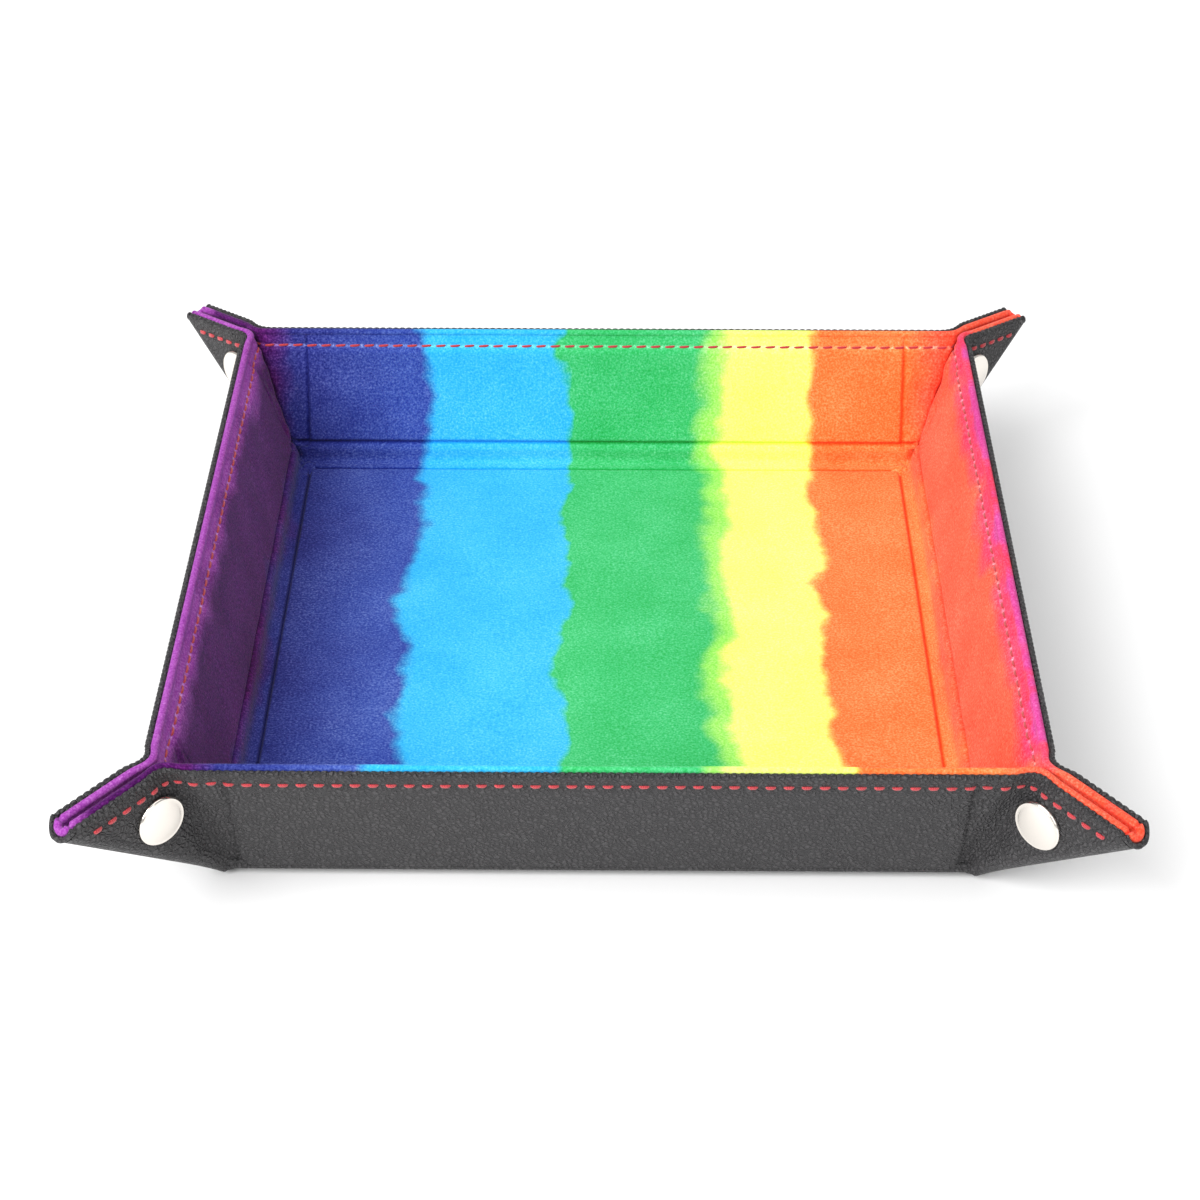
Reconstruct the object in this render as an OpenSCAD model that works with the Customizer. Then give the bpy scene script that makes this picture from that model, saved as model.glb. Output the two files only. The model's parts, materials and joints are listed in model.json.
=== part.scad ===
// Folding dice tray: a leather sheet and a velvet sheet, sewn together round stiff boards.
// The four walls fold up from the floor, and a snap holds each corner pinched into a flat fin.
// The origin is the centre of the underside, +Z is up and the front wall is at -Y.

/* [Sheet] */
// Side of the square floor board
floor_board = 170; // [120:1:260]
// Soft strip between the floor board and each wall board
hinge_gap = 10; // [9:0.5:16]
// Distance from the floor board to the fold line in that strip
fold_inset = 3.4; // [2.6:0.1:4.5]
// Height of a wall board
wall_board_h = 26.5; // [20:0.5:50]
// Angle that a raised wall makes with the floor plane
wall_angle = 72.4; // [60:0.1:80]

/* [Layers] */
// Thickness of the leather
leather_t = 1.2; // [0.8:0.1:1.6]
// Thickness of the boards
board_t = 1.8; // [1:0.1:2.4]
// Thickness of the velvet
velvet_t = 1.6; // [1.2:0.1:2.2]
// Gap between the two velvet faces of a pinched corner
fin_gap = 2.4; // [2:0.1:3.2]
// Gap between neighbouring panels at a fold line
fold_gap = 0.3; // [0.2:0.05:0.6]
// Gap round a board in its pocket
pocket_gap = 0.1; // [0.05:0.05:0.3]
// Thickness of the velvet where it turns down beside a board's edge
skirt_t = 1; // [0.6:0.1:1.4]

/* [Snaps] */
// Diameter of a snap cap
cap_d = 12.5; // [10:0.5:15]
// Height of the domed cap
cap_h = 1.8; // [1.4:0.1:2.4]
// Height of the cap's straight edge below the dome
cap_edge_h = 0.5; // [0.3:0.1:0.8]
// Distance from a cap's edge to the diagonal fold
cap_margin = 0.35; // [0.2:0.05:2]
// Distance from a cap's edge to the wall's end line
cap_side = 2.45; // [2.3:0.05:4]
// Depth that a snap flange sinks into the velvet
flange_sink = 0.6; // [0.4:0.1:0.8]
// Outer diameter of the socket
socket_d = 10.5; // [9:0.5:11]
// Diameter of the bore that takes the stud's knob
socket_bore = 5; // [4.6:0.1:6]
// Thickness of the closed back of the socket
socket_back = 0.4; // [0.3:0.1:0.5]
// Outer diameter of the stud's flange
stud_d = 9.5; // [8:0.5:10.5]
// Thickness of the stud's flange
stud_flange_t = 0.6; // [0.4:0.1:0.6]
// Play between the knob and the bore, all round
knob_play = 0.4; // [0.3:0.05:0.6]
// Gap between the closed socket and the stud's flange
mate_gap = 0.4; // [0.3:0.05:0.6]
// Diameter of the rivet barrel behind a cap or a post
barrel_d = 3.4; // [3:0.1:4]
// Play round a barrel in the leather and velvet
barrel_play = 0.1; // [0.05:0.05:0.3]
// Outer diameter of the post's flange
post_d = 9; // [8:0.5:11]
// Thickness of the post's flange
post_t = 0.7; // [0.5:0.1:1]
// Diameter of the blind hole in the post
post_bore = 1.7; // [1:0.1:2]

/* [Stitching] */
// Distance from the row of stitches to the rim
stitch_inset = 4; // [3:0.1:6]
// Gap between the row of stitches and a cap, or the velvet that covers a board's edge
stitch_gap = 0.1; // [0.05:0.05:0.5]
// Distance from the last stitch's end to a fold line
stitch_end = 3; // [2.5:0.1:6]
// Distance from one stitch to the next
stitch_pitch = 4.1; // [3.5:0.1:6]
// Visible length of a stitch
stitch_l = 2.7; // [2:0.1:3]
// Width of the thread
thread_w = 0.8; // [0.5:0.05:1]
// Thickness of the thread where it lies on a face
thread_t = 0.5; // [0.3:0.05:0.8]

/* [Hidden] */
$fn = 48;
far = 1000;

// Turns about +Z that carry the front wall to each wall, and the two ends of a wall
FRONT = 0;
RIGHT = 90;
BACK = 180;
LEFT = 270;
RIGHT_END = 0;
LEFT_END = 1;

// Fold lines: half the square that they make, and their height
fold_line = floor_board / 2 + fold_inset;
fold_z = leather_t + velvet_t + fin_gap / 2;

// Heights of the faces, measured from the plane of the fold lines towards the velvet side
leather_out = -fold_z;
leather_in = leather_out + leather_t;
soft_face = leather_in + velvet_t;
board_in = leather_in + board_t;
padded_face = board_in + velvet_t;

// Pinched corner: the wall's end line leans out by end_lean, and the flap turns by flap_angle
end_lean = atan(cos(wall_angle));
flap_sector = 45 - end_lean;
flap_angle = acos(sin(wall_angle) / sqrt(2));

// Place of a snap in its flap, clear of the diagonal fold and of the wall's end line
snap_across = cap_d / 2 + cap_side;
snap_along = (cap_d / 2 + cap_margin + snap_across * cos(flap_sector)) / sin(flap_sector);
snap_up = snap_along * cos(end_lean) - snap_across * sin(end_lean);

// Distances from a wall's fold line: its board's edges, the row of stitches and the rim
board_start = hinge_gap - fold_inset;
board_end = board_start + wall_board_h;
stitch_row = max(board_end + skirt_t, snap_up + cap_d / 2) + stitch_gap + thread_w / 2;
wall_reach = stitch_row + stitch_inset;

// Heights of the snap parts in their own flap, towards the velvet side
flange_seat = soft_face - flange_sink;
socket_top = -(flange_seat + stud_flange_t) - mate_gap;
knob_top = -(flange_seat + socket_back) - mate_gap;

// Half length of the rim on a wall, and the stitches in the row on a wall and on a flap
rim_half = fold_line + wall_reach * tan(end_lean);
stitch_half = fold_line + stitch_row * tan(end_lean) - stitch_end;
wall_stitches = floor(2 * stitch_half / stitch_pitch);
flap_row_start = stitch_row * tan(end_lean) + stitch_end;
flap_row_end = stitch_row - stitch_end;
flap_stitches = floor((flap_row_end - flap_row_start) / stitch_pitch);

// ---- Frames ------------------------------------------------------------------------------

// A wall in its raised place: X runs along the fold line, -Y from the fold line to the rim
module wall_place(turn) {
    rotate([0, 0, turn])
        translate([0, -fold_line, fold_z])
            rotate([-wall_angle, 0, 0])
                children();
}

// One end of a wall: X runs from the corner along the wall's end line, Y away from the wall
module wall_end(end) {
    mirror([end, 0, 0])
        translate([fold_line, 0, 0])
            rotate([0, 0, end_lean - 90])
                children();
}

// A flap in its pinched place, in the same axes as the wall's end
module flap_place(turn, end) {
    wall_place(turn)
        wall_end(end)
            rotate([-flap_angle, 0, 0])
                children();
}

// The snap's own axis in a flap, with +Z towards the velvet side
module snap_place(turn, end) {
    flap_place(turn, end)
        translate([snap_along, snap_across, 0])
            children();
}

// ---- Outlines and cuts -------------------------------------------------------------------

// Wall outline, from just past the fold line to the rim
module wall_outline() {
    start = fold_gap / 2;
    polygon([
        [-fold_line - start * tan(end_lean), -start],
        [fold_line + start * tan(end_lean), -start],
        [rim_half, -wall_reach],
        [-rim_half, -wall_reach]
    ]);
}

// Flap outline: corner, rim end of the wall's end line, and tip of the diagonal fold
module flap_outline() {
    difference() {
        polygon([
            [0, 0],
            [wall_reach / cos(end_lean), 0],
            [wall_reach * sqrt(2) * cos(flap_sector), wall_reach * sqrt(2) * sin(flap_sector)]
        ]);
        rotate(flap_sector)
            translate([-far / 2, -fold_gap / 2])
                square([far, far]);
    }
}

// Everything past the mitre plane at a wall's end, which the wall leaves free
module wall_mitre() {
    rotate([-flap_angle / 2, 0, 0])
        translate([-far / 2, -fold_gap / 2, -far / 2])
            cube([far, far, far]);
}

// Everything before the mitre plane at a flap's root, which the flap leaves free
module flap_mitre() {
    rotate([flap_angle / 2, 0, 0])
        translate([-far / 2, fold_gap / 2 - far, -far / 2])
            cube([far, far, far]);
}

// A slab of an outline between two heights
module slab(from, to) {
    translate([0, 0, from])
        linear_extrude(to - from)
            children();
}

// Outline of a wall board, grown by a margin on every side
module wall_board_outline(grow) {
    translate([-floor_board / 2 - grow, -board_end - grow])
        square([floor_board + 2 * grow, wall_board_h + 2 * grow]);
}

// Hole for a rivet barrel through a flap
module barrel_hole() {
    translate([snap_along, snap_across, leather_out - 1])
        cylinder(d = barrel_d + 2 * barrel_play, h = fold_z + 1);
}

// ---- Floor -------------------------------------------------------------------------------

module floor_leather() {
    side = 2 * fold_line - fold_gap;
    color("#191a1c")
        translate([-side / 2, -side / 2, 0])
            cube([side, side, leather_t]);
}

module floor_board_panel() {
    color("#8c7a5e")
        translate([-floor_board / 2, -floor_board / 2, leather_t])
            cube([floor_board, floor_board, board_t]);
}

module floor_velvet() {
    side = 2 * fold_line - fold_gap;
    padded = floor_board + 2 * skirt_t;
    pocket = floor_board + 2 * pocket_gap;
    color("#3f7fae")
        difference() {
            union() {
                translate([-side / 2, -side / 2, leather_t])
                    cube([side, side, velvet_t]);
                translate([-padded / 2, -padded / 2, leather_t])
                    cube([padded, padded, board_t + velvet_t]);
            }
            translate([-pocket / 2, -pocket / 2, leather_t - 1])
                cube([pocket, pocket, board_t + 1]);
        }
}

// ---- Walls -------------------------------------------------------------------------------

module wall_leather(turn) {
    color("#191a1c")
        wall_place(turn)
            difference() {
                slab(leather_out, leather_in)
                    wall_outline();
                for (end = [RIGHT_END, LEFT_END])
                    wall_end(end)
                        wall_mitre();
            }
}

module wall_board(turn) {
    color("#8c7a5e")
        wall_place(turn)
            slab(leather_in, board_in)
                wall_board_outline(0);
}

module wall_velvet(turn, shade) {
    color(shade)
        wall_place(turn)
            difference() {
                union() {
                    slab(leather_in, soft_face)
                        wall_outline();
                    slab(leather_in, padded_face)
                        wall_board_outline(skirt_t);
                }
                slab(leather_in - 1, board_in)
                    wall_board_outline(pocket_gap);
                for (end = [RIGHT_END, LEFT_END])
                    wall_end(end)
                        wall_mitre();
            }
}

// ---- Corner flaps ------------------------------------------------------------------------

module flap_leather(turn, end) {
    color("#191a1c")
        flap_place(turn, end)
            difference() {
                slab(leather_out, leather_in)
                    flap_outline();
                flap_mitre();
                barrel_hole();
            }
}

// The velvet has a shallow seat for the snap's flange
module flap_velvet(turn, end, seat_d, shade) {
    color(shade)
        flap_place(turn, end)
            difference() {
                slab(leather_in, soft_face)
                    flap_outline();
                flap_mitre();
                barrel_hole();
                translate([snap_along, snap_across, flange_seat])
                    cylinder(d = seat_d + 2 * barrel_play, h = fold_z);
            }
}

// ---- Snap fasteners ----------------------------------------------------------------------

// Domed cap on the leather, with its barrel reaching through to the socket
module snap_cap(turn, end) {
    crown = cap_h - cap_edge_h;
    dome_r = (cap_d * cap_d / 4 + crown * crown) / (2 * crown);
    color("#d9d9d6")
        snap_place(turn, end) {
            translate([0, 0, leather_out - cap_edge_h])
                cylinder(d = cap_d, h = cap_edge_h);
            translate([0, 0, leather_out - cap_h])
                intersection() {
                    translate([0, 0, dome_r])
                        sphere(r = dome_r);
                    cylinder(d = cap_d, h = crown);
                }
            translate([0, 0, leather_out])
                cylinder(d = barrel_d, h = flange_seat - leather_out);
        }
}

// Socket on the velvet, with a bore that the knob snaps into
module snap_socket(turn, end) {
    color("#b9b9b6")
        snap_place(turn, end)
            difference() {
                translate([0, 0, flange_seat])
                    cylinder(d = socket_d, h = socket_top - flange_seat);
                translate([0, 0, flange_seat + socket_back])
                    cylinder(d = socket_bore, h = fold_z);
            }
}

// Stud on the other half of the fin: a flange with a knob that enters the socket
module snap_stud(turn, end) {
    color("#b9b9b6")
        snap_place(turn, end) {
            translate([0, 0, flange_seat])
                cylinder(d = stud_d, h = stud_flange_t);
            translate([0, 0, flange_seat + stud_flange_t])
                cylinder(d = socket_bore - 2 * knob_play, h = knob_top - flange_seat - stud_flange_t);
        }
}

// Post behind the stud: an open ring on the leather with its barrel through both sheets
module snap_post(turn, end) {
    color("#c9c9c6")
        snap_place(turn, end)
            difference() {
                union() {
                    translate([0, 0, leather_out - post_t])
                        cylinder(d = post_d, h = post_t);
                    translate([0, 0, leather_out])
                        cylinder(d = barrel_d, h = flange_seat - leather_out);
                }
                translate([0, 0, leather_out - 2 * post_t])
                    cylinder(d = post_bore, h = 3 * post_t);
            }
}

// ---- Stitching ---------------------------------------------------------------------------

// One stitch at each place along X: a short length of thread on the leather and on the velvet
module stitch(x) {
    for (z = [leather_out - thread_t, soft_face])
        translate([x - stitch_l / 2, -stitch_row - thread_w / 2, z])
            cube([stitch_l, thread_w, thread_t]);
}

module wall_thread(turn) {
    color("#c01f27")
        wall_place(turn)
            for (i = [0 : wall_stitches - 1])
                stitch((i - (wall_stitches - 1) / 2) * stitch_pitch);
}

// The row goes on along the rim of a flap, in the flap's own turned plane
module flap_thread(turn, end) {
    color("#c01f27")
        flap_place(turn, end)
            rotate([0, 0, 90 - end_lean])
                for (i = [0 : flap_stitches - 1])
                    stitch(flap_row_start + (i + 0.5) * stitch_pitch);
}

// ---- Assembly ----------------------------------------------------------------------------

floor_leather();
floor_board_panel();
floor_velvet();

wall_leather(FRONT);  // front_leather
wall_leather(RIGHT);  // right_leather
wall_leather(BACK);  // back_leather
wall_leather(LEFT);  // left_leather

wall_board(FRONT);  // front_board
wall_board(RIGHT);  // right_board
wall_board(BACK);  // back_board
wall_board(LEFT);  // left_board

wall_velvet(FRONT, "#3fa06a");  // front_velvet
wall_velvet(RIGHT, "#e2553d");  // right_velvet
wall_velvet(BACK, "#4aa57a");  // back_velvet
wall_velvet(LEFT, "#7a3f98");  // left_velvet

flap_leather(FRONT, RIGHT_END);  // front_flap_right_leather
flap_leather(RIGHT, RIGHT_END);  // right_flap_back_leather
flap_leather(BACK, RIGHT_END);  // back_flap_left_leather
flap_leather(LEFT, RIGHT_END);  // left_flap_front_leather
flap_leather(FRONT, LEFT_END);  // front_flap_left_leather
flap_leather(RIGHT, LEFT_END);  // right_flap_front_leather
flap_leather(BACK, LEFT_END);  // back_flap_right_leather
flap_leather(LEFT, LEFT_END);  // left_flap_back_leather

flap_velvet(FRONT, RIGHT_END, socket_d, "#d8478f");  // front_flap_right_velvet
flap_velvet(RIGHT, RIGHT_END, socket_d, "#d8478f");  // right_flap_back_velvet
flap_velvet(BACK, RIGHT_END, stud_d, "#b04fb0");  // back_flap_left_velvet
flap_velvet(LEFT, RIGHT_END, stud_d, "#b04fb0");  // left_flap_front_velvet
flap_velvet(FRONT, LEFT_END, socket_d, "#b04fb0");  // front_flap_left_velvet
flap_velvet(RIGHT, LEFT_END, stud_d, "#d8478f");  // right_flap_front_velvet
flap_velvet(BACK, LEFT_END, stud_d, "#d8478f");  // back_flap_right_velvet
flap_velvet(LEFT, LEFT_END, socket_d, "#b04fb0");  // left_flap_back_velvet

snap_cap(FRONT, LEFT_END);  // front_left_cap
snap_cap(FRONT, RIGHT_END);  // front_right_cap
snap_cap(RIGHT, RIGHT_END);  // back_right_cap
snap_cap(LEFT, LEFT_END);  // back_left_cap

snap_socket(FRONT, LEFT_END);  // front_left_socket
snap_socket(FRONT, RIGHT_END);  // front_right_socket
snap_socket(RIGHT, RIGHT_END);  // back_right_socket
snap_socket(LEFT, LEFT_END);  // back_left_socket

snap_stud(LEFT, RIGHT_END);  // front_left_stud
snap_stud(RIGHT, LEFT_END);  // front_right_stud
snap_stud(BACK, LEFT_END);  // back_right_stud
snap_stud(BACK, RIGHT_END);  // back_left_stud

snap_post(LEFT, RIGHT_END);  // front_left_post
snap_post(RIGHT, LEFT_END);  // front_right_post
snap_post(BACK, LEFT_END);  // back_right_post
snap_post(BACK, RIGHT_END);  // back_left_post

wall_thread(FRONT);  // front_thread
wall_thread(RIGHT);  // right_thread
wall_thread(BACK);  // back_thread
wall_thread(LEFT);  // left_thread

flap_thread(FRONT, RIGHT_END);  // front_flap_right_thread
flap_thread(RIGHT, RIGHT_END);  // right_flap_back_thread
flap_thread(BACK, RIGHT_END);  // back_flap_left_thread
flap_thread(LEFT, RIGHT_END);  // left_flap_front_thread
flap_thread(FRONT, LEFT_END);  // front_flap_left_thread
flap_thread(RIGHT, LEFT_END);  // right_flap_front_thread
flap_thread(BACK, LEFT_END);  // back_flap_right_thread
flap_thread(LEFT, LEFT_END);  // left_flap_back_thread
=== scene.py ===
"""Folding dice tray: the leather and velvet sheets, hems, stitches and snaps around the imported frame.

Most pieces are laid out in the flat cut of the sheets, as points (x, u, v) in mm: x along a wall from its
middle, u outward from the wall's fold line, v from the fold's axis towards the velvet side. The pose
functions then give their place at rest in the front wall's frame, and make() turns them to their wall. With
side -1 the same layout is mirrored to the wall's left end.
"""
import json
import math

import bmesh
import bpy
import numpy as np
from mathutils import Euler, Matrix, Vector


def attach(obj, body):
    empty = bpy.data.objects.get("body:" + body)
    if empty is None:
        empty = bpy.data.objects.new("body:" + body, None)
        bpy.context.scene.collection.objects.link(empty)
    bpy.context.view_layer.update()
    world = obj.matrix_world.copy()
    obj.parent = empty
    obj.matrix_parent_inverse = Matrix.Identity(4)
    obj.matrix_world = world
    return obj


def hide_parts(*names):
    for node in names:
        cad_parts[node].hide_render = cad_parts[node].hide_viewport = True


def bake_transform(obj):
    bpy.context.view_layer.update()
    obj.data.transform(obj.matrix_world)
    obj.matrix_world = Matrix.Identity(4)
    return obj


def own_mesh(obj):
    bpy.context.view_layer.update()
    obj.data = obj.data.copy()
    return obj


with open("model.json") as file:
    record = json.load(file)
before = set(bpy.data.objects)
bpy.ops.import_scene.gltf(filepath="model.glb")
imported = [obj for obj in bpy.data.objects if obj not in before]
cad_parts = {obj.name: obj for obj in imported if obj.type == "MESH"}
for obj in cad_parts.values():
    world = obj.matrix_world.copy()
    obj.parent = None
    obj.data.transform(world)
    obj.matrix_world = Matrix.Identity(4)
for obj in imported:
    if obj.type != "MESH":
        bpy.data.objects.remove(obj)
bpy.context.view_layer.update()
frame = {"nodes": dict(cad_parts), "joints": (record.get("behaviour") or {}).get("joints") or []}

# ---------------------------------------------------------------- sizes, mm and radians
MM = 0.001
joints = {joint["name"]: joint for joint in frame["joints"]}
FOLD_LINE = -joints["wall_front_fold"]["pos_m"][1] / MM
FOLD_Z = joints["wall_front_fold"]["pos_m"][2] / MM
WALL_FOLD = math.radians(joints["wall_front_fold"]["range_deg"][1])
FLAP_FOLD = math.radians(joints["front_flap_right_fold"]["range_deg"][1])
END_LEAN = math.asin(joints["front_flap_right_fold"]["axis"][0])

# Places along the flat wall, outward from the fold line. BOARD_EDGE is the board's end along x
BOARD_EDGE = 85.0
FLOOR_CREASE = BOARD_EDGE - FOLD_LINE
BOARD_START = 6.6
BOARD_END = 33.1
STITCH_ROW = 34.6
RIM = 38.6
VELVET_HEM = RIM - 0.4
LEATHER_HEM = RIM - 0.2

# Heights in the sheets, above the fold's axis
VELVET_HEM_DEPTH = -1.75
LEATHER_HEM_DEPTH = -3.5
LEATHER_OUT = -4.0
LEATHER_IN = -2.8
SOFT_FACE = -1.2
PADDED_FACE = 0.6
UNDER_PAD = -0.9
END_FACE = -0.5

# Reach of the strips along u, and the widths over which the wall folds and the end creases bend
VELVET_STRIP = (-4.9, 5.2)
LEATHER_STRIP = (-9.2, 2.6)
LEATHER_SKIN_START = 1.0
WALL_ZONE = 6.3
CREASE_ZONE = 9.6
FOLD_TRIM = 0.2

# Radii of the hems, and the stitches and snaps. A snap's place is along and across its end crease
VELVET_HEM_RADIUS = 1.05
LEATHER_HEM_RADIUS = 0.88
LEATHER_TIP_RADIUS = 0.85
PUCKER_PITCH = 1.85
HEM_SIDES = 10
STITCH_PITCH = 4.1
STITCH_LENGTH = 2.7
INNER_STITCH_LENGTH = 3.0
SNAP_ALONG = 30.22
SNAP_ACROSS = 8.7

# The corners: how deep the leather ball is cut back inside, and the crumpled velvet's size and place
CORNER_CUT = 3.1
CRUMPLE_RADIUS = 4.4
CRUMPLE_INSET = 2.6

WALLS = {"front": 0, "right": 90, "back": 180, "left": 270}
FLAPS = {
    ("front", 1): "front_flap_right",
    ("front", -1): "front_flap_left",
    ("right", 1): "right_flap_back",
    ("right", -1): "right_flap_front",
    ("back", 1): "back_flap_left",
    ("back", -1): "back_flap_right",
    ("left", 1): "left_flap_front",
    ("left", -1): "left_flap_back",
}
CORNERS = {
    "front_flap_left": "front_left",
    "left_flap_front": "front_left",
    "front_flap_right": "front_right",
    "right_flap_front": "front_right",
    "right_flap_back": "back_right",
    "back_flap_right": "back_right",
    "left_flap_back": "back_left",
    "back_flap_left": "back_left",
}
SOFT_CREASES = ("left_flap_front", "right_flap_front")
SOFT_CREASE_SHARE = 0.25
# How much of the painted crease shade the side walls get along their boards' lower edge
SIDE_WALL_CREASE_SHADE = 0.35
CAPPED = ("front_flap_left", "front_flap_right", "right_flap_back", "left_flap_back")


# ---------------------------------------------------------------- small maths
def smooth(t):
    t = np.clip(t, 0, 1)
    return t * t * (3 - 2 * t)


def dip(distance, width):
    """A narrow rounded groove, 1 at its middle."""
    return np.exp(-((distance / width) ** 2))


def ripple(x, y, size, seed):
    """Smooth unevenness about 0, at roughly the given size in mm."""
    random = np.random.default_rng(seed)
    total = np.zeros(np.broadcast(x, y).shape)
    for _ in range(14):
        angle, phase = random.uniform(0, 2 * math.pi, 2)
        wave = 2 * math.pi / (size * random.uniform(0.6, 1.8))
        total += np.sin(wave * (x * math.cos(angle) + y * math.sin(angle)) + phase)
    return total / 5


def turned(points, degrees):
    """Points of the front wall's frame, turned to another wall."""
    a = math.radians(degrees)
    x, y, z = points.T
    return np.stack([x * math.cos(a) - y * math.sin(a), x * math.sin(a) + y * math.cos(a), z], 1)


# ---------------------------------------------------------------- folds, in the front wall's frame
def wall_pose(points, share):
    """Points (x, u, v) of the flat sheet, turned about the wall's fold by a share of its angle."""
    x, u, v = points.T
    angle = share * WALL_FOLD
    y = -FOLD_LINE - u * np.cos(angle) + v * np.sin(angle)
    z = FOLD_Z + u * np.sin(angle) + v * np.cos(angle)
    return np.stack([x, y, z], 1)


def crease_pose(points, share):
    """Points (x, u, v) of the flat sheet, with the flap turned about its crease by a share of its angle."""
    x, u, v = points.T
    along = (x - FOLD_LINE) * math.sin(END_LEAN) + u * math.cos(END_LEAN)
    across = (x - FOLD_LINE) * math.cos(END_LEAN) - u * math.sin(END_LEAN)
    angle = share * FLAP_FOLD
    out = across * np.cos(angle) + v * np.sin(angle)
    up = -across * np.sin(angle) + v * np.cos(angle)
    x = FOLD_LINE + along * math.sin(END_LEAN) + out * math.cos(END_LEAN)
    u = along * math.cos(END_LEAN) - out * math.sin(END_LEAN)
    return np.stack([x, u, up], 1)


def settle(pose, progress):
    low = np.zeros(len(pose(0.0)))
    high = np.ones(len(low))
    for _ in range(36):
        share = (low + high) / 2
        ahead = smooth(progress(pose(share))) > share
        low = np.where(ahead, share, low)
        high = np.where(ahead, high, share)
    return pose(share)


WALL_AXIS = np.array([0, -FOLD_LINE, FOLD_Z])
WALL_ACROSS = np.array([0, -math.cos(WALL_FOLD / 2), math.sin(WALL_FOLD / 2)])


def strip_rest(flat):
    """The strip that bends between the floor and a wall."""
    return settle(
        lambda share: wall_pose(flat, share),
        lambda p: 0.5 + (p - WALL_AXIS) @ WALL_ACROSS / WALL_ZONE,
    )


def skin_rest(flat):
    """The sheet that bends between a wall and its flap."""

    def progress(p):
        x, u, v = p.T
        across = (x - FOLD_LINE) * math.cos(END_LEAN) - u * math.sin(END_LEAN)
        return 0.5 + (across * math.cos(FLAP_FOLD / 2) - v * math.sin(FLAP_FOLD / 2)) / CREASE_ZONE

    return wall_pose(settle(lambda share: crease_pose(flat, share), progress), 1.0)


def flap_rest(flat):
    """Stiff on the flap, right up to the crease."""
    return wall_pose(crease_pose(flat, 1.0), 1.0)


def floor_rest(flat):
    return wall_pose(flat, 0.0)


def flap_flat(along, across, v):
    """Flat-sheet point (x, u, v) from distances along and across a flap's crease."""
    along, across, v = np.broadcast_arrays(along, across, v)
    x = FOLD_LINE + along * math.sin(END_LEAN) + across * math.cos(END_LEAN)
    u = along * math.cos(END_LEAN) - across * math.sin(END_LEAN)
    return np.stack([x.ravel(), u.ravel(), v.ravel()], 1)


def fold_edge_flat(along, inward, v):
    """Flat-sheet point from the distance along the fin's fold, inward from it, and height."""
    x = FOLD_LINE + (along - inward) / math.sqrt(2)
    u = (along + inward) / math.sqrt(2)
    x, u, v = np.broadcast_arrays(x, u, v)
    return np.stack([x.ravel(), u.ravel(), v.ravel()], 1)


# ---------------------------------------------------------------- meshes
def make(name, points, faces, flat, material, turn=0, side=1, smooth_angle=40, crease_shade_and_holes=None):
    """A closed mesh from points of the front wall's frame, turned to its wall and mirrored for side -1.
    The last argument is painted shade: how much each point is darkened in a crease, from 0 to 1; below 0 the
    pale backing shows at the stitch holes."""
    mirror = np.array([side, 1, 1])
    world = turned(points * mirror, turn) * MM
    sheet = turned(wall_pose(flat * mirror, 0.0), turn)
    mesh = bpy.data.meshes.new(name)
    mesh.from_pydata(world.tolist(), [], faces)
    attribute = mesh.attributes.new("flat", "FLOAT_VECTOR", "POINT")
    attribute.data.foreach_set("vector", sheet.astype(np.float32).ravel())
    # Painted crease shade for the velvet's colour, with the pale stitch holes, kept on each point
    if crease_shade_and_holes is not None:
        shade_and_holes = mesh.attributes.new("crease_shade_and_holes", "FLOAT", "POINT")
        shade_and_holes.data.foreach_set("value", np.concatenate([crease_shade_and_holes, crease_shade_and_holes]).astype(np.float32).ravel())
    work = bmesh.new()
    work.from_mesh(mesh)
    bmesh.ops.recalc_face_normals(work, faces=work.faces)
    work.to_mesh(mesh)
    work.free()
    mesh.polygons.foreach_set("use_smooth", [True] * len(mesh.polygons))
    mesh.set_sharp_from_angle(angle=math.radians(smooth_angle))
    piece = bpy.data.objects.new(name, mesh)
    bpy.context.scene.collection.objects.link(piece)
    mesh.materials.append(material)
    return piece


def grid_faces(rows, cols, start=0, wrap=False):
    """Quads over a grid of points, numbered from start. wrap joins the last column to the first."""
    faces = []
    for i in range(rows - 1):
        for j in range(cols if wrap else cols - 1):
            k = (j + 1) % cols
            a, b = start + i * cols, start + (i + 1) * cols
            faces.append((a + j, b + j, b + k, a + k))
    return faces


def sheet_mesh(x, u, top, bottom):
    """Flat points and faces of a closed sheet between two heights over a grid."""
    rows, cols = x.shape
    upper = np.stack([x.ravel(), u.ravel(), top.ravel()], 1)
    lower = np.stack([x.ravel(), u.ravel(), bottom.ravel()], 1)
    count = rows * cols
    faces = grid_faces(rows, cols) + [tuple(reversed(f)) for f in grid_faces(rows, cols, count)]
    index = np.arange(count).reshape(rows, cols)
    border = list(index[0]) + list(index[1:, -1]) + list(index[-1, -2::-1]) + list(index[-2:0:-1, 0])
    for a, b in zip(border, border[1:] + border[:1]):
        faces.append((int(a), int(b), int(b) + count, int(a) + count))
    return np.concatenate([upper, lower]), faces


def closed_rings(count, sides, start=0):
    """Faces of a closed tube of rings, numbered from start, with a flat face at both ends."""
    faces = grid_faces(count, sides, start, wrap=True)
    faces.append(tuple(range(start, start + sides)))
    faces.append(tuple(reversed(range(start + (count - 1) * sides, start + count * sides))))
    return faces


# ---------------------------------------------------------------- materials
def new_material(name):
    material = bpy.data.materials.new(name)
    material.use_nodes = True
    nodes = material.node_tree.nodes
    return material, nodes, material.node_tree.links, nodes["Principled BSDF"]


def add(nodes, kind, **settings):
    node = nodes.new(kind)
    for key, value in settings.items():
        if key.startswith("in_"):
            node.inputs[key[3:].replace("_", " ")].default_value = value
        else:
            setattr(node, key, value)
    return node


def flat_coordinates(nodes):
    return add(nodes, "ShaderNodeAttribute", attribute_name="flat").outputs["Vector"]


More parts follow.
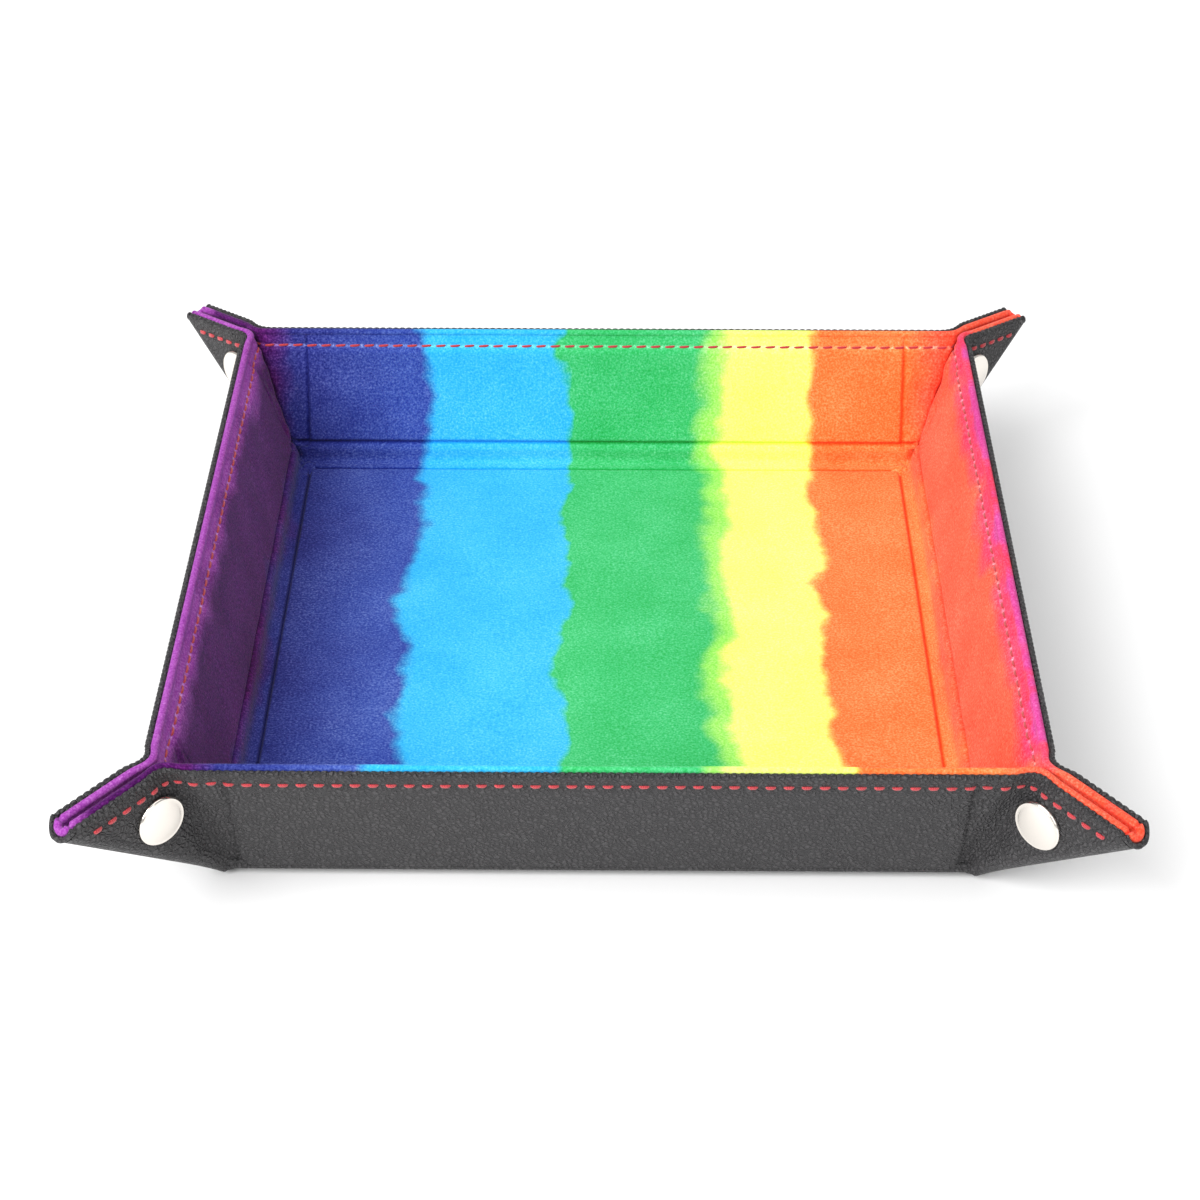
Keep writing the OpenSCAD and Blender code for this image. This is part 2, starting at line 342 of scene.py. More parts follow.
def math_node(nodes, links, operation, first, second=None, clamp=False):
    node = add(nodes, "ShaderNodeMath", operation=operation, use_clamp=clamp)
    for socket, value in zip(node.inputs, (first, second)):
        if value is None:
            continue
        if isinstance(value, (int, float)):
            socket.default_value = value
        else:
            links.new(value, socket)
    return node.outputs[0]


def linear(red, green, blue):
    """A colour given in everyday 0-255 values."""
    values = [c / 255 for c in (red, green, blue)]
    return [c / 12.92 if c <= 0.04045 else ((c + 0.055) / 1.055) ** 2.4 for c in values] + [1.0]


# Each change of colour across the sheet in mm, as its middle and the width over which it bleeds, then the dye
# that follows it. The first row only gives the dye that the print starts with
DYES = [
    (-127, 0.5, (150, 66, 160)),
    # This purple is the print's dye, made darker than the cloth to paint in the shade that falls on the left
    # wall
    (-122, 6, (80, 18, 92)),
    (-92, 8, (46, 50, 124)),
    (-72, 30, (58, 80, 162)),
    (-52, 3.0, (54, 178, 232)),
    (-11, 1.4, (60, 184, 108)),
    (28, 4, (150, 222, 100)),
    (33, 3, (230, 246, 122)),
    (58, 2.6, (252, 124, 66)),
    (92, 8, (248, 92, 66)),
    (121, 6, (236, 60, 96)),
    (127, 2, (206, 66, 144)),
]

# Half the width of the print, how far its dyes wave, and their shift at the corners of the red side, in mm
PRINT_HALF = 130.0
SLOW_WAVE = 17.0
SCALLOP_WAVE = 9.0
CORNER_SHIFT = -9.0


def texture(nodes, links, place, kind, **settings):
    """A texture node laid over the given coordinates."""
    node = add(nodes, kind, **settings)
    links.new(place, node.inputs["Vector"])
    return node


def stretched_noise(nodes, links, place, scale, detail, stretch=(1, 1, 1), roughness=0.55):
    """Noise whose coordinates are first scaled along each axis."""
    mapping = texture(nodes, links, place, "ShaderNodeMapping")
    mapping.inputs["Scale"].default_value = stretch
    node = texture(nodes, links, mapping.outputs[0], "ShaderNodeTexNoise",
                   in_Scale=scale, in_Detail=detail, in_Roughness=roughness)
    return node.outputs["Fac"]


def set_bump(nodes, links, shader, height, strength, distance):
    bump = add(nodes, "ShaderNodeBump", in_Strength=strength, in_Distance=distance)
    links.new(height, bump.inputs["Height"])
    links.new(bump.outputs[0], shader.inputs["Normal"])


def set_two_tones(nodes, links, shader, share, dark, light):
    """Base colour between two everyday colours."""
    ramp = add(nodes, "ShaderNodeValToRGB")
    ramp.color_ramp.elements[0].color = linear(*dark)
    ramp.color_ramp.elements[1].color = linear(*light)
    links.new(share, ramp.inputs[0])
    links.new(ramp.outputs[0], shader.inputs["Base Color"])


def dye_place(nodes, links, place):
    """Where a point of the sheet falls across the print, in mm. The dyes wave, and they move inward at the
    corners of the red side."""
    axes = add(nodes, "ShaderNodeSeparateXYZ")
    links.new(place, axes.inputs[0])
    slow = stretched_noise(nodes, links, place, 0.03, 1, (0.5, 1, 0))
    slow = math_node(nodes, links, "SUBTRACT", slow, 0.5)
    scallop = stretched_noise(nodes, links, place, 0.1, 2, (0.9, 1, 0), 0.5)
    scallop = math_node(nodes, links, "SUBTRACT", scallop, 0.5)
    slow = math_node(nodes, links, "MULTIPLY", slow, SLOW_WAVE)
    scallop = math_node(nodes, links, "MULTIPLY", scallop, SCALLOP_WAVE)
    shift = math_node(nodes, links, "ADD", slow, scallop)
    across = math_node(nodes, links, "ADD", axes.outputs["X"], shift)
    beside = add(nodes, "ShaderNodeMapRange", in_From_Min=104.0, in_From_Max=116.0)
    links.new(axes.outputs["X"], beside.inputs["Value"])
    beyond = add(nodes, "ShaderNodeMapRange", in_From_Min=90.0, in_From_Max=104.0, in_To_Max=CORNER_SHIFT)
    links.new(math_node(nodes, links, "ABSOLUTE", axes.outputs["Y"]), beyond.inputs["Value"])
    corner = math_node(nodes, links, "MULTIPLY", beside.outputs["Result"], beyond.outputs["Result"])
    return math_node(nodes, links, "ADD", across, corner)


def dye_ramp(nodes):
    """The dyes in their order across the print."""
    ramp = add(nodes, "ShaderNodeValToRGB")
    stops = ramp.color_ramp.elements
    before = DYES[0][2]
    stops[0].position = 0.0
    stops[0].color = linear(*before)
    stops.remove(stops[1])
    for middle, bleed, dye in DYES[1:]:
        for place_mm, colour in ((middle - bleed / 2, before), (middle + bleed / 2, dye)):
            stop = stops.new((place_mm + PRINT_HALF) / (2 * PRINT_HALF))
            stop.color = linear(*colour)
        before = dye
    return ramp


def dye_depth_and_crease_shade(nodes, links, place):
    """How deep the dye lies: a slow wash, the nap's grain, and painted shade that darkens the velvet in its
    creases.
    """
    shade_and_holes = add(nodes, "ShaderNodeAttribute", attribute_name="crease_shade_and_holes").outputs["Fac"]
    wash = math_node(nodes, links, "MULTIPLY", stretched_noise(nodes, links, place, 0.05, 4), 0.5)
    grain = stretched_noise(nodes, links, place, 1.7, 2, roughness=0.65)
    grain = math_node(nodes, links, "MULTIPLY", grain, 1.5)
    # Painted shade in the creases, from the per-point attribute
    crease = math_node(nodes, links, "MULTIPLY", shade_and_holes, 0.7)
    return math_node(nodes, links, "ADD", math_node(nodes, links, "ADD", wash, grain), crease)


def velvet_material():
    material, nodes, links, shader = new_material("rainbow_velvet")
    place = flat_coordinates(nodes)
    from_edge = math_node(nodes, links, "ADD", dye_place(nodes, links, place), PRINT_HALF)
    ramp = dye_ramp(nodes)
    links.new(math_node(nodes, links, "DIVIDE", from_edge, 2 * PRINT_HALF), ramp.inputs[0])
    tint = add(nodes, "ShaderNodeGamma")
    links.new(ramp.outputs[0], tint.inputs["Color"])
    links.new(dye_depth_and_crease_shade(nodes, links, place), tint.inputs["Gamma"])
    links.new(tint.outputs[0], shader.inputs["Base Color"])
    shader.inputs["Roughness"].default_value = 0.9
    shader.inputs["Specular IOR Level"].default_value = 0.12
    shader.inputs["Sheen Weight"].default_value = 0.1
    shader.inputs["Sheen Roughness"].default_value = 0.45
    nap = stretched_noise(nodes, links, place, 2.4, 4, roughness=0.75)
    set_bump(nodes, links, shader, nap, strength=0.55, distance=0.00025)
    return material


def leather_material():
    material, nodes, links, shader = new_material("pebbled_leather")
    place = flat_coordinates(nodes)
    warp = texture(nodes, links, place, "ShaderNodeTexNoise", in_Scale=0.25, in_Detail=2)
    moved = add(nodes, "ShaderNodeMix", data_type="VECTOR")
    moved.inputs[0].default_value = 0.12
    links.new(place, moved.inputs[4])
    links.new(warp.outputs["Color"], moved.inputs[5])
    cells = texture(nodes, links, moved.outputs[1], "ShaderNodeTexVoronoi",
                    feature="DISTANCE_TO_EDGE", in_Scale=0.92)
    pebbles = add(nodes, "ShaderNodeMapRange", interpolation_type="SMOOTHSTEP", in_From_Max=0.3)
    links.new(cells.outputs["Distance"], pebbles.inputs["Value"])
    fine = texture(nodes, links, place, "ShaderNodeTexNoise", in_Scale=3.2, in_Detail=3)
    fine = math_node(nodes, links, "MULTIPLY", fine.outputs["Fac"], 0.5)
    height = math_node(nodes, links, "ADD", fine, pebbles.outputs["Result"])
    set_bump(nodes, links, shader, height, strength=1.0, distance=0.00042)
    set_two_tones(nodes, links, shader, pebbles.outputs["Result"], (34, 33, 35), (60, 58, 60))
    rough = add(nodes, "ShaderNodeMapRange", in_To_Min=0.38, in_To_Max=0.62)
    links.new(warp.outputs["Fac"], rough.inputs["Value"])
    links.new(rough.outputs[0], shader.inputs["Roughness"])
    shader.inputs["Specular IOR Level"].default_value = 0.5
    return material


def metal_material(name, colour, roughness):
    material, nodes, links, shader = new_material(name)
    place = add(nodes, "ShaderNodeTexCoord").outputs["Object"]
    smudge = texture(nodes, links, place, "ShaderNodeTexNoise", in_Scale=180.0, in_Detail=3)
    rough = add(nodes, "ShaderNodeMapRange", in_To_Min=roughness * 0.7, in_To_Max=roughness * 1.4)
    links.new(smudge.outputs["Fac"], rough.inputs["Value"])
    links.new(rough.outputs[0], shader.inputs["Roughness"])
    set_bump(nodes, links, shader, smudge.outputs["Fac"], strength=0.08, distance=0.0001)
    shader.inputs["Base Color"].default_value = linear(*colour)
    shader.inputs["Metallic"].default_value = 1.0
    return material


def thread_material():
    material, nodes, links, shader = new_material("red_thread")
    place = flat_coordinates(nodes)
    twist = texture(nodes, links, place, "ShaderNodeTexWave", bands_direction="DIAGONAL",
                    in_Scale=1.6, in_Distortion=1.5)
    set_two_tones(nodes, links, shader, twist.outputs["Fac"], (150, 22, 36), (214, 52, 62))
    set_bump(nodes, links, shader, twist.outputs["Fac"], strength=0.5, distance=0.0002)
    shader.inputs["Roughness"].default_value = 0.6
    shader.inputs["Sheen Weight"].default_value = 0.3
    return material


def board_material():
    material, nodes, links, shader = new_material("grey_board")
    place = add(nodes, "ShaderNodeTexCoord").outputs["Object"]
    fibres = texture(nodes, links, place, "ShaderNodeTexNoise", in_Scale=900.0, in_Detail=5)
    set_two_tones(nodes, links, shader, fibres.outputs["Fac"], (120, 108, 92), (168, 154, 132))
    shader.inputs["Roughness"].default_value = 0.85
    return material


VELVET = velvet_material()
LEATHER = leather_material()
THREAD = thread_material()
CAP_METAL = metal_material("polished_cap", (236, 230, 222), 0.16)
SNAP_METAL = metal_material("nickel_snap", (205, 200, 192), 0.26)
BOARD = board_material()


# ---------------------------------------------------------------- heights of the two sheets
def strip_height(u):
    """Velvet face across the soft strip between the floor board and a wall board."""
    across = (u - FLOOR_CREASE) / (BOARD_START - FLOOR_CREASE)
    crown = 0.95 * np.sin(math.pi * np.clip(across, 0, 1)) ** 0.6
    return PADDED_FACE + crown - 0.75 * dip(u - FLOOR_CREASE, 0.45) - 0.75 * dip(u - BOARD_START, 0.5)


def velvet_top(x, u, seed, crisp=1.0):
    """Velvet face of a wall and its flap over the flat sheet. crisp is how sharp the board's end shows."""
    past_board = x - BOARD_EDGE
    past_end = x - FOLD_LINE - u * math.tan(END_LEAN)
    side = 1 - 0.45 * smooth(past_board / (1.6 + 5 * (1 - crisp))) - 0.55 * smooth((past_end + 0.5) / 4)
    rim = 1 - smooth((u - BOARD_END + 0.4) / 4.6)
    padded = (PADDED_FACE - SOFT_FACE) * side * rim
    strip = (strip_height(u) - PADDED_FACE) * smooth((1.5 - past_end) / 2.5)
    on_wall = smooth((BOARD_START + 1 - u) / 1.0)
    crease = 0.55 * crisp * dip(past_board - 0.5, 0.5) * smooth((RIM - u) / 3) * smooth((u - 5) / 2)
    edge = 0.12 * dip(u - BOARD_END - 0.4, 0.7) * smooth(-past_board)
    seam = 0.42 * dip(u - STITCH_ROW, 0.6) * (0.7 + 0.3 * np.cos(2 * math.pi * x / STITCH_PITCH))
    uneven = 0.07 * ripple(x, u, 16, seed) + 0.03 * ripple(x, u, 5, seed + 1)
    slack = smooth((past_board - 1) / 2) * smooth((4 - past_end) / 3) * smooth((STITCH_ROW - u) / 4)
    uneven += 0.32 * ripple(x + 0.5 * u, u * 0.6, 6, seed + 2) * slack * smooth((u - 6) / 3)
    puff = 0.25 * smooth((u - STITCH_ROW) / 1.2) * smooth((RIM - u) / 1.5)
    return SOFT_FACE + padded + strip * on_wall - crease - edge - seam + uneven + puff


def velvet_crease_shade_and_holes(x, u, crisp, below_share):
    """Painted shade that darkens the velvet in its creases at a wall board's edges: crisp at the board's end,
    below_share at its lower edge. Below 0 the pale backing shows, at the stitch holes."""
    below = below_share * dip(u - BOARD_START, 0.4) * smooth((FOLD_LINE + 2 - x) / 2)
    end = dip(x - BOARD_EDGE - 0.5, 0.5) * smooth((u - 5) / 2) * smooth((RIM - u) / 6)
    holes = dip(u - STITCH_ROW, 0.45) * (0.5 + 0.5 * np.cos(2 * math.pi * x / STITCH_PITCH)) ** 2
    return np.maximum(below, 0.6 * crisp * end) - 0.9 * holes


def leather_face(x, u, seed):
    """Outer face of the leather of a wall and its flap."""
    past_board = x - BOARD_EDGE
    crease = 0.6 * dip(past_board - 0.5, 0.7) + 0.5 * dip(past_board - 2.2, 2.2)
    crease *= smooth((RIM - u) / 5) * smooth((u - LEATHER_SKIN_START) / 5)
    edge = 0.12 * dip(u - BOARD_END - 0.6, 0.9) * smooth(-past_board)
    seam = 0.3 * dip(u - STITCH_ROW, 0.6) * (0.7 + 0.3 * np.cos(2 * math.pi * x / STITCH_PITCH))
    uneven = 0.06 * ripple(x, u, 18, seed + 5)
    return LEATHER_OUT + crease + edge + seam + uneven


# ---------------------------------------------------------------- floor
def make_floor():
    panels = {}
    for kind, reach, material in (
        ("velvet", FOLD_LINE + VELVET_STRIP[0], VELVET),
        ("leather", FOLD_LINE + LEATHER_STRIP[0], LEATHER),
    ):
        line = np.linspace(-reach, reach, 86)
        x, y = np.meshgrid(line, -line)
        u = -FOLD_LINE - y
        away = reach - np.maximum(np.abs(x), np.abs(y))
        soft = 0.05 * ripple(x, y, 22, 3) * smooth(away / 6)
        top, bottom = PADDED_FACE + soft, np.full_like(x, UNDER_PAD)
        if kind == "leather":
            top, bottom = np.full_like(x, LEATHER_IN - 0.05), np.full_like(x, LEATHER_OUT)
        points, faces = sheet_mesh(x, u, top, bottom)
        piece = make(f"floor_{kind}_panel", floor_rest(points), faces, points, material)
        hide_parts(f"floor_{kind}")
        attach(piece, "tray_floor")
        panels[kind] = (piece, x, u)
    return panels


def make_strip(wall):
    """The soft strip between the floor board and one wall board, in both sheets."""
    turn = WALLS[wall]
    for kind, (first, last), material in (
        ("velvet", VELVET_STRIP, VELVET),
        ("leather", LEATHER_STRIP, LEATHER),
    ):
        rows = np.linspace(first, last, 52)
        half = np.where(rows < 0, FOLD_LINE + rows, FOLD_LINE + rows * math.tan(END_LEAN))
        sweep = np.linspace(-1, 1, 121) * 0.4 * math.pi
        share = np.sin(sweep) / math.sin(0.4 * math.pi)
        x = half[:, None] * share[None, :]
        u = np.repeat(rows[:, None], len(share), 1)
        # Painted shade along the crease between the floor board and the wall board
        crease_shade_and_holes = dip(u - FLOOR_CREASE, 0.4)
        if kind == "velvet":
            near_end = smooth((np.abs(x) - BOARD_EDGE + 12) / 12)
            wrinkles = 0.22 * ripple(x, u * 0.4, 3.4, turn + 11) * near_end
            uneven = (0.07 * ripple(x, u, 14, turn + 12) + wrinkles) * smooth((u - first) / 1.5)
            top = strip_height(u) + uneven * smooth((last - u) / 2)
            open_end = smooth(1 - (half[:, None] - np.abs(x)) / 2.6) * smooth(u / 2.5)
            top = top + (END_FACE - top) * open_end
            bottom = np.where(u < FLOOR_CREASE + 0.1, UNDER_PAD, LEATHER_IN + 0.05)
        else:
            tuck = 0.25 * smooth((u - LEATHER_SKIN_START + 0.2) / 0.4)
            top, bottom = LEATHER_IN - 0.05 - tuck, LEATHER_OUT + tuck
        points, faces = sheet_mesh(x, u, top, bottom)
        name = f"{wall}_{kind}_strip"
        piece = make(name, strip_rest(points), faces, points, material, turn, crease_shade_and_holes=crease_shade_and_holes)
        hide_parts(f"{wall}_{kind}")
        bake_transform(piece)


# ---------------------------------------------------------------- walls and flaps
def crease_ends(turn, side):
    """Start and end of the bend across a flap's crease, in the row frame."""
    reach = CREASE_ZONE / 2
    ends = []
    for k in (-1, 1):
        out = k * reach * math.cos(FLAP_FOLD / 2)
        up = -k * reach * math.sin(FLAP_FOLD / 2)
        x = FOLD_LINE + out * math.cos(END_LEAN)
        point = wall_pose(np.array([[x, -out * math.sin(END_LEAN), up]]), 1.0)
        ends.append(turned(point * np.array([side, 1, 1]), turn)[0] * MM)
    return ends


def skin_columns(rows):
    """Flat x of each grid point from the wall's middle, across the crease, to the fin's fold."""
    crease = FOLD_LINE + rows * math.tan(END_LEAN)
    board = np.linspace(0, BOARD_EDGE - 1, 78)[:-1]
    edge = np.linspace(BOARD_EDGE - 1, BOARD_EDGE + 2.2, 12)
    columns = []
    for row, end in zip(rows, crease):
        fold = FOLD_LINE + row - FOLD_TRIM
        room = 5.2 * min(1.0, (fold - end) / 5.8)
        bend = np.linspace(max(end - room, edge[-1] + 0.4), end + room, 19)
        margin = np.linspace(edge[-1], bend[0], 8)[1:-1]
        flap = np.linspace(bend[-1], fold, 24)[1:]
        columns.append(np.concatenate([board, edge, margin, bend, flap]))
    return np.array(columns)


def make_skin(wall, side):
    """One half of a wall with its flap, in both sheets."""
    turn = WALLS[wall]
    flap = FLAPS[wall, side]
    crisp = SOFT_CREASE_SHARE if flap in SOFT_CREASES else 1.0
    skins = {}
    for kind, first, last, material in (
        ("velvet", VELVET_STRIP[1], VELVET_HEM, VELVET),
        ("leather", LEATHER_SKIN_START, LEATHER_HEM, LEATHER),
    ):
        rows = np.concatenate([
            np.arange(first, 8.0, 0.35),
            np.arange(8.0, 32.0, 1.2),
            np.arange(32.0, last - 0.1, 0.4),
            [last],
        ])
        x = skin_columns(rows)
        u = np.repeat(rows[:, None], x.shape[1], 1)
        if kind == "velvet":
            upper = velvet_top(x, u, turn + 40, crisp)
            on_board = (x < BOARD_EDGE + 0.5) & (u > BOARD_START - 0.3) & (u < BOARD_END + 0.3)
            lower = np.where(on_board, UNDER_PAD, LEATHER_IN + 0.05)
        else:
            upper, lower = np.full_like(x, LEATHER_IN - 0.05), leather_face(x, u, turn + 60)
        points, faces = sheet_mesh(x, u, upper, lower)
        name = f"{flap}_{kind}_skin"
        # Painted shade in the creases at the board's edges, and the pale backing at the stitch holes
        crease_shade_and_holes = velvet_crease_shade_and_holes(x, u, crisp, 1.0 if wall in ("front", "back") else SIDE_WALL_CREASE_SHADE)
        piece = make(name, skin_rest(points), faces, points, material, turn, side, crease_shade_and_holes=crease_shade_and_holes)
        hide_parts(f"{wall}_{kind}", f"{flap}_{kind}")
        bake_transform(piece)
        skins[kind] = (piece, x, u)
    return skins


def make_root(wall, side):
    """The small corner of a flap below its skin, down to the floor's corner."""
    turn = WALLS[wall]
    flap = FLAPS[wall, side]
    roots = {}
    for kind, last, upper, lower, material in (
        ("velvet", VELVET_STRIP[1], END_FACE, LEATHER_IN + 0.05, VELVET),
        ("leather", LEATHER_SKIN_START, LEATHER_IN - 0.05, LEATHER_OUT, LEATHER),
    ):
        rows = np.linspace(0.5, last, 8)
        share = np.linspace(0, 1, 8)
        crease = FOLD_LINE + rows * math.tan(END_LEAN)
        x = crease[:, None] + share[None, :] * (FOLD_LINE + rows - FOLD_TRIM - crease)[:, None]
        u = np.repeat(rows[:, None], 8, 1)
        points, faces = sheet_mesh(x, u, np.full_like(x, upper), np.full_like(x, lower))
        piece = make(f"{flap}_{kind}_root", flap_rest(points), faces, points, material, turn, side)
        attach(piece, flap)
        roots[kind] = piece
    return roots


def ring_grid(first, last, rings, sides):
    """A grid of rings from first to last, by the angles round each ring."""
    around = np.linspace(0, 2 * math.pi, sides + 1)[:-1]
    return np.meshgrid(np.linspace(first, last, rings), around, indexing="ij")


def make_leather_corner(wall):
    """The rounded outer corner of the leather at a wall's right end, cut back on the inside of the tray."""
    turn = WALLS[wall]
    rings, sides = 24, 36
    lean, around = ring_grid(0.02, math.pi - 0.02, rings, sides)
    facing = np.stack([np.sin(lean) * np.cos(around), np.sin(lean) * np.sin(around), -np.cos(lean)], -1)
    inside = np.array([-1, 1, 1.3])
    inward = facing @ inside / np.linalg.norm(inside)
    reach = -LEATHER_OUT - 0.03 - CORNER_CUT * smooth(inward / 0.45)
    offset = (facing * reach[..., None]).reshape(-1, 3)
    flat = np.stack([FOLD_LINE + offset[:, 0], -offset[:, 1], offset[:, 2]], 1)
    points = offset + np.array([FOLD_LINE, -FOLD_LINE, FOLD_Z])
    faces = closed_rings(rings, sides)
    ball = make(f"{wall}_leather_corner", points, faces, flat, LEATHER, turn)
    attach(ball, "tray_floor")
    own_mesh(ball)
    return ball


def make_velvet_corner(wall):
    """The crumpled velvet in the inner corner at a wall's right end."""
    turn = WALLS[wall]
    rings, sides = 16, 48
    radius, around = ring_grid(0.15, CRUMPLE_RADIUS, rings, sides)
    x = FOLD_LINE - CRUMPLE_INSET + radius * np.cos(around)
    u = -CRUMPLE_INSET + radius * np.sin(around)
    gathers = 0.35 * np.sin(5 * around + 0.8 * turn) * smooth(radius / 3) * smooth((5.2 - radius) / 3)
    top = 1.7 - 2.3 * smooth(radius / CRUMPLE_RADIUS) + gathers + 0.2 * ripple(x, u, 3.5, turn + 90)
    count = x.size
    upper = np.stack([x.ravel(), u.ravel(), top.ravel()], 1)
    lower = np.stack([x.ravel(), u.ravel(), np.full(count, LEATHER_IN + 0.1)], 1)
    flat = np.concatenate([upper, lower])
    faces = grid_faces(rings, sides, wrap=True) + grid_faces(rings, sides, count, wrap=True)
    faces += [tuple(range(sides)), tuple(range(count, count + sides))]
    rim = (rings - 1) * sides
    for j in range(sides):
        k = (j + 1) % sides
        faces.append((rim + j, rim + k, count + rim + k, count + rim + j))
    name = f"{wall}_velvet_corner"
    crumple = make(name, floor_rest(flat), faces, flat, VELVET, turn, smooth_angle=60)
    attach(crumple, "tray_floor")
    return crumple


def make_corner(wall):
    return {"leather": make_leather_corner(wall), "velvet": make_velvet_corner(wall)}


# ---------------------------------------------------------------- rim, fold edge, tip
def hem_mesh(line_u, line_v, radius, rib, step, end_x):
    """Flat points and faces of a hem along the rim. rib is the puckers' depth as a share of the radius."""
    x = np.arange(0, end_x, step)
    x = np.append(x, end_x)
    ribs = np.abs(np.sin(math.pi * x / PUCKER_PITCH)) ** 0.7
    radii = radius * (1 - rib + rib * ribs)
    tail = smooth((end_x - x) / (radius * 1.2) + 0.35)
    radii = radii * np.where(end_x - x < radius, tail, 1)
    angles = np.arange(HEM_SIDES) * 2 * math.pi / HEM_SIDES
    section = np.stack([np.zeros(HEM_SIDES), np.cos(angles), np.sin(angles)], 1)
    rings = [np.array([place, line_u, line_v]) + size * section for place, size in zip(x, radii)]
    return np.concatenate(rings), closed_rings(len(rings), HEM_SIDES)


def make_hems(wall, side):
    turn = WALLS[wall]
    flap = FLAPS[wall, side]
    start, end = crease_ends(turn, side)
    hems = {}
    for kind, line_u, line_v, radius, rib, step, material in (
        ("velvet", VELVET_HEM, VELVET_HEM_DEPTH, VELVET_HEM_RADIUS, 0.05, 0.8, VELVET),
        ("leather", LEATHER_HEM, LEATHER_HEM_DEPTH, LEATHER_HEM_RADIUS, 0.34, 0.31, LEATHER),
    ):
        points, faces = hem_mesh(line_u, line_v, radius, rib, step, FOLD_LINE + line_u - FOLD_TRIM)
        name = f"{flap}_{kind}_hem"
        piece = make(name, skin_rest(points), faces, points, material, turn, side, 80)
        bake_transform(piece)
        hems[kind] = piece
    return hems


def fold_squash(piece, side):
    """Gives the piece its own copy of its mesh. It works out two points on the fin's fold but does not use
    them.
    """
    tilt = math.radians(26)
    along, inward = 20.0, 0.35
    base = fold_edge_flat(along, inward, LEATHER_OUT)
    ahead = fold_edge_flat(along, inward + math.cos(tilt), LEATHER_OUT - math.sin(tilt))
    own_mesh(piece)


def make_fold_edge(wall, side):
    """The rounded fold along the bottom of a fin, half of it on each flap."""
    turn = WALLS[wall]
    flap = FLAPS[wall, side]
    bend = np.linspace(-0.25, math.pi / 2, 10)
    folds = {}
    for kind, first, outer, inner, material in (
        ("velvet", 4.6, -LEATHER_IN - 0.02, -SOFT_FACE, VELVET),
        ("leather", 0.4, -LEATHER_OUT, -LEATHER_IN + 0.02, LEATHER),
    ):
        along = np.linspace(first, (RIM - 0.8) * math.sqrt(2), 36)
        rings = []
        for distance in along:
            section = [(outer, t) for t in bend] + [(inner, t) for t in bend[::-1]]
            inward = np.array([-radius * math.sin(t) for radius, t in section])
            height = np.array([-radius * math.cos(t) for radius, t in section])
            rings.append(fold_edge_flat(distance, inward, height))
        points = np.concatenate(rings)
        edge = fold_edge_flat(along, 0.0, -outer)
        slip = np.repeat(skin_rest(edge) - flap_rest(edge), 2 * len(bend), 0)
        held = np.tile(np.concatenate([np.cos(bend), np.cos(bend[::-1])]), len(along))
        rest = flap_rest(points) + slip * held[:, None]
        sides = 2 * len(bend)
        faces = grid_faces(len(along), sides, wrap=True)
        for k in (0, len(along) - 1):
            for j in range(len(bend) - 1):
                a = k * sides
                faces.append((a + j, a + j + 1, a + sides - 2 - j, a + sides - 1 - j))
        name = f"{flap}_{kind}_fold"
        piece = make(name, rest, faces, points, material, turn, side)
        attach(piece, flap)
        fold_squash(piece, side)
        folds[kind] = piece
    return folds


def make_tip(wall, side):
    """The hems carried round the fold at the tip of a fin."""
    turn = WALLS[wall]
    flap = FLAPS[wall, side]
    bend = np.linspace(-0.12, math.pi / 2, 13)
    tips = {}
    for kind, reach, radius, line_u, rib, material in (
        ("velvet", -VELVET_HEM_DEPTH, VELVET_HEM_RADIUS, VELVET_HEM, 0.0, VELVET),
        ("leather", -LEATHER_HEM_DEPTH, LEATHER_TIP_RADIUS, LEATHER_HEM, 0.25, LEATHER),
    ):
        along = line_u * math.sqrt(2)
        angles = np.arange(HEM_SIDES) * 2 * math.pi / HEM_SIDES
        rings = []
        for t in bend:
            size = radius * (1 - rib * abs(math.sin(2.5 * t)))
            spread = reach + size * np.sin(angles)
            outward = along + size * np.cos(angles)
            rings.append(fold_edge_flat(outward, -spread * math.sin(t), -spread * math.cos(t)))
        points = np.concatenate(rings)
        faces = closed_rings(len(bend), HEM_SIDES)
        name = f"{flap}_{kind}_tip"
        piece = make(name, flap_rest(points), faces, points, material, turn, side, 80)
        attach(piece, flap)
        fold_squash(piece, side)
        tips[kind] = piece
    return tips


# ---------------------------------------------------------------- stitches
def stitch_mesh(centres, heights, width, thick, length, lean):
    """Flat points and faces of a row of rounded stitches."""
    stations = np.array([-0.5, -0.42, -0.25, 0.0, 0.25, 0.42, 0.5])
    swell = np.array([0.35, 0.75, 0.97, 1.0, 0.97, 0.75, 0.35])
    arch = np.array([-0.8, -0.35, -0.05, 0.0, -0.05, -0.35, -0.8])
    sides = 8
    angles = (np.arange(sides) + 0.5) * 2 * math.pi / sides
    points, faces = [], []
    for number, (x, v) in enumerate(zip(centres, heights)):
        rings = []
        for s, k, a in zip(stations, swell, arch):
            ring = np.zeros((sides, 3))
            ring[:, 0] = x + s * length
            ring[:, 1] = STITCH_ROW + s * lean + width / 2 * k * np.cos(angles)
            ring[:, 2] = v + a * thick + thick / 2 * k * np.sin(angles)
            rings.append(ring)
        first = number * sides * len(stations)
        points += rings
        faces += closed_rings(len(stations), sides, first)
    return np.concatenate(points), faces


